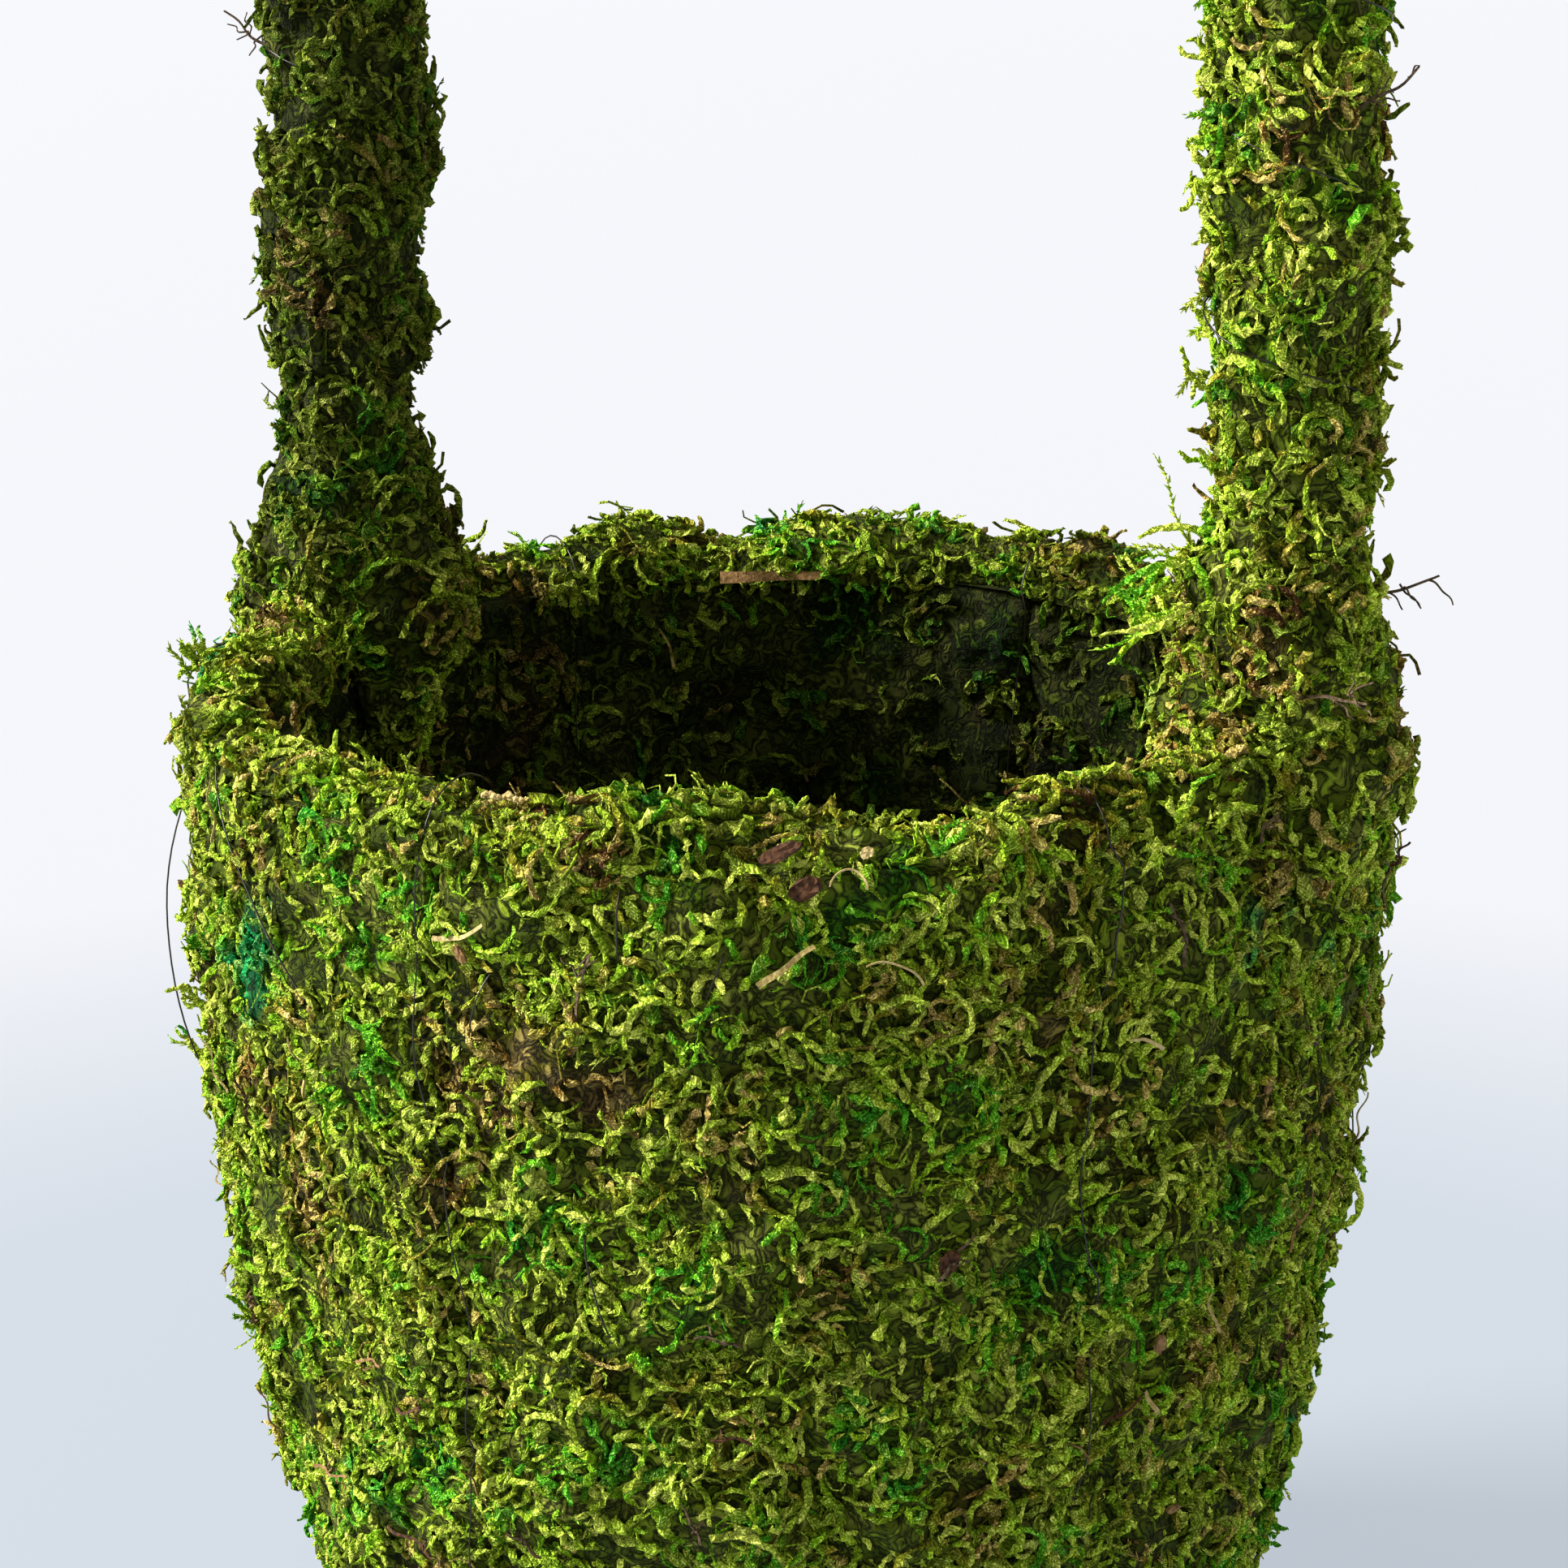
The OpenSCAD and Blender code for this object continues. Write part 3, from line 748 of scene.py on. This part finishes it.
# ---- Litter in the moss ----
# What comes up with moss from a forest floor: chips of bark, bits of straw, dead twigs and dry fibres. Each
# lies between the shoots or sticks out of them.
def dry_plant(name, colour, rough, streak):
    """A matt dry plant part, with paler streaks and shallow cracks 0.8 mm apart."""
    material, tree = new_material(name)
    where = add(tree, "ShaderNodeTexCoord").outputs["Object"]
    grain = add(tree, "ShaderNodeTexNoise", {"Vector": where}, Scale=1 / (0.8 * MM),
                Detail=4.0).outputs["Fac"]
    tint = add(tree, "ShaderNodeValToRGB", {"Fac": grain},
               stops=[(0.3, colour), (0.7, streak)]).outputs["Color"]
    cracks = add(tree, "ShaderNodeBump", {"Height": grain}, Strength=0.9, Distance=0.4 * MM).outputs[0]
    finish_material(tree, Base_Color=tint, Roughness=rough, Specular_IOR_Level=0.2, Normal=cracks)
    return material


# Bark and twigs are rough and give no shine, and straw and fibres are a little smoother
bark = dry_plant("dry_bark", "#190e08", 0.8, "#5c3a24")
pale_bark = dry_plant("weathered_bark", "#5b4226", 0.8, "#96764c")
straw = dry_plant("dry_straw", "#7e6c38", 0.6, "#b5a468")
dead_wood = dry_plant("dead_twig", "#241a12", 0.8, "#6b5844")
fibre = dry_plant("dry_fibre", "#97834e", 0.7, "#cdb987")


def flake(length, width, thickness):
    """A rough flat chip: a low cylinder squashed, cut into smaller faces and jogged out of true."""
    bpy.ops.mesh.primitive_cylinder_add(vertices=9, radius=0.5, depth=1, end_fill_type="TRIFAN")
    chip = bpy.context.object
    chip.data.transform(Matrix.Diagonal((length, width, thickness, 1)))
    bpy.ops.object.mode_set(mode="EDIT")
    bpy.ops.mesh.select_all(action="SELECT")
    bpy.ops.mesh.subdivide(number_cuts=1)
    bpy.ops.transform.vertex_random(offset=width * 0.13, seed=random.randint(0, 999))
    bpy.ops.object.mode_set(mode="OBJECT")
    return chip


def blade(length, width, thickness, curl=0.0):
    """A flat or round stem of even thickness, a little curved."""
    bar = ringed(length, 12)
    for vertex in bar.data.vertices:
        slim = 1 - 0.35 * vertex.co.x / length
        vertex.co.y = vertex.co.y / MM * width / 2 * slim
        vertex.co.z = vertex.co.z / MM * thickness / 2 * slim
    bent = curled(bar, "blade", curl, 0.15, 0, length)
    bpy.data.objects.remove(bar)
    return bent


def twig(length, branches):
    """A thin dead stem with short side stems."""
    shapes = [blade(length, 0.7 * MM, 0.7 * MM, random.uniform(-0.8, 0.8))]
    for n in range(branches):
        side = blade(length * random.uniform(0.25, 0.45), 0.45 * MM, 0.45 * MM, random.uniform(-0.8, 0.8))
        spin = Matrix.Rotation(random.uniform(0.4, 1.0) * random.choice((-1, 1)), 4, "Z")
        root = length * random.uniform(-0.3, 0.35)
        outwards = Matrix.Translation((length * 0.16, 0, 0))
        side.data.transform(Matrix.Translation((root, 0, 0)) @ spin @ outwards)
        shapes.append(side)
    return joined("twig", shapes)


def spray(length, shoots):
    """A few leafy shoots that grow from one point and open like a hand."""
    shapes = []
    for n in range(shoots):
        long = length * random.uniform(0.6, 1)
        plain = feathery(long, 14, 1.9 * MM, 0.42 * MM) if n % 2 else leafy(long, 13, 0.8 * MM)
        bent = curled(plain, "spray", random.uniform(-1.6, 1.6), 0.8, random.uniform(-2, 2) * MM, long)
        bpy.data.objects.remove(plain)
        spin = Matrix.Rotation((n - (shoots - 1) / 2) * 0.5, 4, "Z")
        bent.data.transform(spin @ Matrix.Translation((long / 2, 0, 0)))
        shapes.append(bent)
    grown = joined("spray", shapes)
    tone = grown.data.attributes.new("tone", "FLOAT", "POINT")
    shade = random.uniform(0.7, 1)
    # One tone for the whole spray, and all over it the painted shade of a point high in the mat
    for value, high in zip(tone.data, grown.data.attributes["height"].data):
        value.value, high.value = shade, 0.75
    return grown


def lay(shape, finish, spot, out, turn, lift, stand=0.0):
    """Sets a shape down on the moss: turn is its direction on the face, 0 level and 90 upright, and stand
    tips its far end away from the face."""
    level = Vector((-out.y, out.x, 0)).normalized() if abs(out.z) < 0.95 else Vector((1, 0, 0))
    upright = out.cross(level).normalized()
    if upright.z < 0:
        upright = -upright
    along = level * math.cos(math.radians(turn)) + upright * math.sin(math.radians(turn))
    along = (along * math.cos(stand) + out * math.sin(stand)).normalized()
    across = out.cross(along).normalized()
    face = along.cross(across)
    turned = Matrix((along, across, face)).transposed().to_4x4()
    shape.data.transform(Matrix.Translation(spot + out * lift) @ turned)
    shape.data.materials.clear()
    shape.data.materials.append(finish)
    return shape


def keep(name, shapes):
    """Joins the litter of one kind into a piece of the basket."""
    piece = joined(name, shapes)
    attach(piece, "root")


# Bark that lies on the open side, on the rim and on the lining, and smaller chips all round
chips = [lay(flake(5.5 * MM, 3.4 * MM, 0.9 * MM), bark, *on_wall(-56.5, 194 * MM), 35, -0.5 * MM, 0.3),
         lay(flake(7.5 * MM, 2.4 * MM, 0.9 * MM), bark, *on_wall(-58.5, 199.5 * MM), 20, -0.4 * MM, 0.3),
         lay(flake(5 * MM, 3 * MM, 0.7 * MM), bark, *on_wall(-44, 131 * MM), 70, 0.5 * MM, 0.2)]
chips.append(lay(blade(20 * MM, 3.2 * MM, 1.0 * MM), pale_bark,
                 *strike(Vector((0, 0, 196 * MM)), bearing(124)), 0, 0.6 * MM))
for n in range(26):
    spot, out = on_wall(random.uniform(-180, 180), random.uniform(20, 195) * MM)
    size = random.uniform(2, 5) * MM
    chips.append(lay(flake(size, size * 0.5, 0.6 * MM), random.choice((bark, pale_bark)), spot, out,
                     random.uniform(0, 180), random.uniform(-1.2, 0.2) * MM, random.uniform(0, 0.3)))
keep("bark_chips", chips)

# Straw and fibres: five that show well, and shorter bits all round
straws = [lay(blade(11 * MM, 1.5 * MM, 0.5 * MM), straw, *on_wall(-58, 182 * MM), 38, 1.0 * MM, 0.05),
          lay(blade(8 * MM, 1.2 * MM, 0.5 * MM), straw, *on_wall(-22, 98 * MM), 125, 0.9 * MM, 0.05),
          lay(blade(9 * MM, 0.8 * MM, 0.6 * MM, 0.5), straw,
              *strike(Vector((0, 0, 183 * MM)), bearing(138)), 96, 1.5 * MM, 0.1),
          lay(blade(9 * MM, 0.5 * MM, 0.5 * MM, 3.2), fibre, *on_wall(-53, 196 * MM), 80, 1.2 * MM, 0.1),
          lay(flake(2.2 * MM, 1.8 * MM, 0.4 * MM), fibre, *on_wall(-51.5, 199 * MM), 30, 1.6 * MM, 0.2)]
for n in range(46):
    spot, out = on_wall(random.uniform(-180, 180), random.uniform(15, 196) * MM)
    bit = blade(random.uniform(5, 13) * MM, random.uniform(0.4, 1.1) * MM, 0.5 * MM,
                random.uniform(-1.5, 1.5))
    straws.append(lay(bit, random.choice((straw, fibre, pale_bark)), spot, out,
                      random.uniform(0, 180), random.uniform(-0.8, 0.6) * MM, random.uniform(-0.1, 0.2)))
keep("straw_bits", straws)

# Dead twigs: two on the wall, four that stick out at the handle's legs, and small ones all round
twigs = [lay(twig(14 * MM, 3), dead_wood, *on_wall(-75, 176 * MM), 97, 0.6 * MM, 0.05),
         lay(twig(10 * MM, 2), dead_wood, *on_wall(-43.5, 132 * MM), 60, 0.8 * MM, 0.1)]
for degrees, height, turn, stand in ((-2, 308, 40, 0.9), (-8, 214, 10, 1.0),
                                     (2, 228, -30, 1.1), (186, 306, 150, 0.6)):
    spot, out = on_wall(degrees, height * MM)
    twigs.append(lay(twig(13 * MM, 4), dead_wood, spot, out, turn, 2.0 * MM, stand))
for n in range(40):
    spot, out = on_wall(random.uniform(-180, 180), random.uniform(15, 196) * MM)
    small = twig(random.uniform(6, 14) * MM, 2)
    twigs.append(lay(small, random.choice((dead_wood, bark, pale_bark)), spot, out,
                     random.uniform(0, 180), random.uniform(-0.6, 0.8) * MM, random.uniform(-0.1, 0.25)))
keep("dead_twigs", twigs)

# A dry seed head that lies along the front of the rim
seeds = []
for n in range(13):
    bpy.ops.mesh.primitive_ico_sphere_add(subdivisions=1, radius=random.uniform(0.5, 0.75) * MM)
    seed = bpy.context.object
    spot = bearing(-86.5 + 0.33 * n) * (98 + random.uniform(-0.8, 0.8)) * MM + Vector((0, 0, 202.4 * MM))
    seed.data.transform(Matrix.Translation(spot + Vector((0, 0, random.uniform(0, 0.8) * MM))))
    seed.data.materials.append(fibre)
    seeds.append(seed)
keep("seed_head", seeds)

# Sprays that stand out of the moss: four beside the foot of the right leg with smaller ones up the leg,
# then nine on the wall and the rim, and small ones all round
def on_right_leg(degrees, height):
    """The place and the way out on the face of the right leg, round its own middle."""
    start = Vector((leg_x, 0, 0)) + bearing(degrees) * 0.06 + Vector((0, 0, height))
    return strike(start, -bearing(degrees))


sprays = []
for degrees, height, turn, stand, count in ((200, 233, 20, 0.9, 4), (212, 228, -20, 1.1, 4),
                                            (222, 224, -50, 0.9, 4), (206, 222, 60, 1.2, 3)):
    spot, out = on_right_leg(degrees, height * MM)
    sprays.append(lay(spray(18 * MM, count), fresh_fronds, spot, out, turn, -1.5 * MM, stand))
for n in range(16):
    spot, out = on_right_leg(random.uniform(185, 240), random.uniform(238, 325) * MM)
    small = spray(random.uniform(6, 9) * MM, 3)
    sprays.append(lay(small, olive_fronds, spot, out, random.uniform(0, 360), -1.5 * MM,
                      random.uniform(0.5, 1.1)))
for degrees, height, turn, stand, count in ((-150, 205, 60, 1.0, 4), (-154, 212, 80, 0.9, 3),
                                            (120, 203, 90, 1.0, 4), (116, 203, 80, 1.1, 3),
                                            (-22, 205, 120, 0.9, 3), (-45, 203, 100, 1.2, 3),
                                            (60, 190, 40, 1.0, 3), (-100, 150, 200, 0.8, 3),
                                            (-130, 90, 30, 0.9, 3)):
    # A level line higher than this would only graze the rim
    spot, out = on_wall(degrees, min(height, 199) * MM)
    sprays.append(lay(spray(10 * MM, count), fronds, spot, out, turn, -1.5 * MM, stand))
for n in range(44):
    spot, out = on_wall(random.uniform(-180, 180), random.uniform(20, 198) * MM)
    small = spray(random.uniform(6, 10) * MM, 3)
    sprays.append(lay(small, fronds, spot, out, random.uniform(0, 360), -1.5 * MM,
                      random.uniform(0.3, 0.9)))
keep("loose_sprays", sprays)


# ---- Wire frame ----
# Mild steel wire, welded into a cage and dipped in dark green plastic. The two handle wires are held
# together by coils of dull galvanised tie wire. The moss hides all of it.

# The dipped coat is waxy, with slow runs about 4 mm apart
dipped, tree = new_material("green_dipped_wire")
where = add(tree, "ShaderNodeTexCoord").outputs["Object"]
runs = add(tree, "ShaderNodeTexNoise", {"Vector": where}, Scale=1 / (4 * MM), Detail=2.0).outputs["Fac"]
coat = add(tree, "ShaderNodeValToRGB", {"Fac": runs},
           stops=[(0.3, "#27351f"), (0.7, "#35452b")]).outputs["Color"]
waxy = add(tree, "ShaderNodeBump", {"Height": runs}, Strength=0.3, Distance=0.2 * MM).outputs[0]
finish_material(tree, Base_Color=coat, Roughness=0.4, Normal=waxy)

# Weathered zinc is a dull grey metal, in duller and brighter patches about 3 mm across
steel, tree = new_material("galvanised_wire")
where = add(tree, "ShaderNodeTexCoord").outputs["Object"]
bloom = add(tree, "ShaderNodeTexNoise", {"Vector": where}, Scale=1 / (3 * MM), Detail=3.0).outputs["Fac"]
dull = add(tree, "ShaderNodeMapRange", {"Value": bloom}, To_Min=0.35, To_Max=0.6).outputs[0]
finish_material(tree, Base_Color=linear("#8b8f92"), Metallic=1.0, Roughness=dull)

for name, node in frame["nodes"].items():
    if "wire" in name or "hoop" in name or name.startswith("rib_") or name in ("centre_ring", "handle_ties"):
        node.data.materials.clear()
        node.data.materials.append(steel if name == "handle_ties" else dipped)
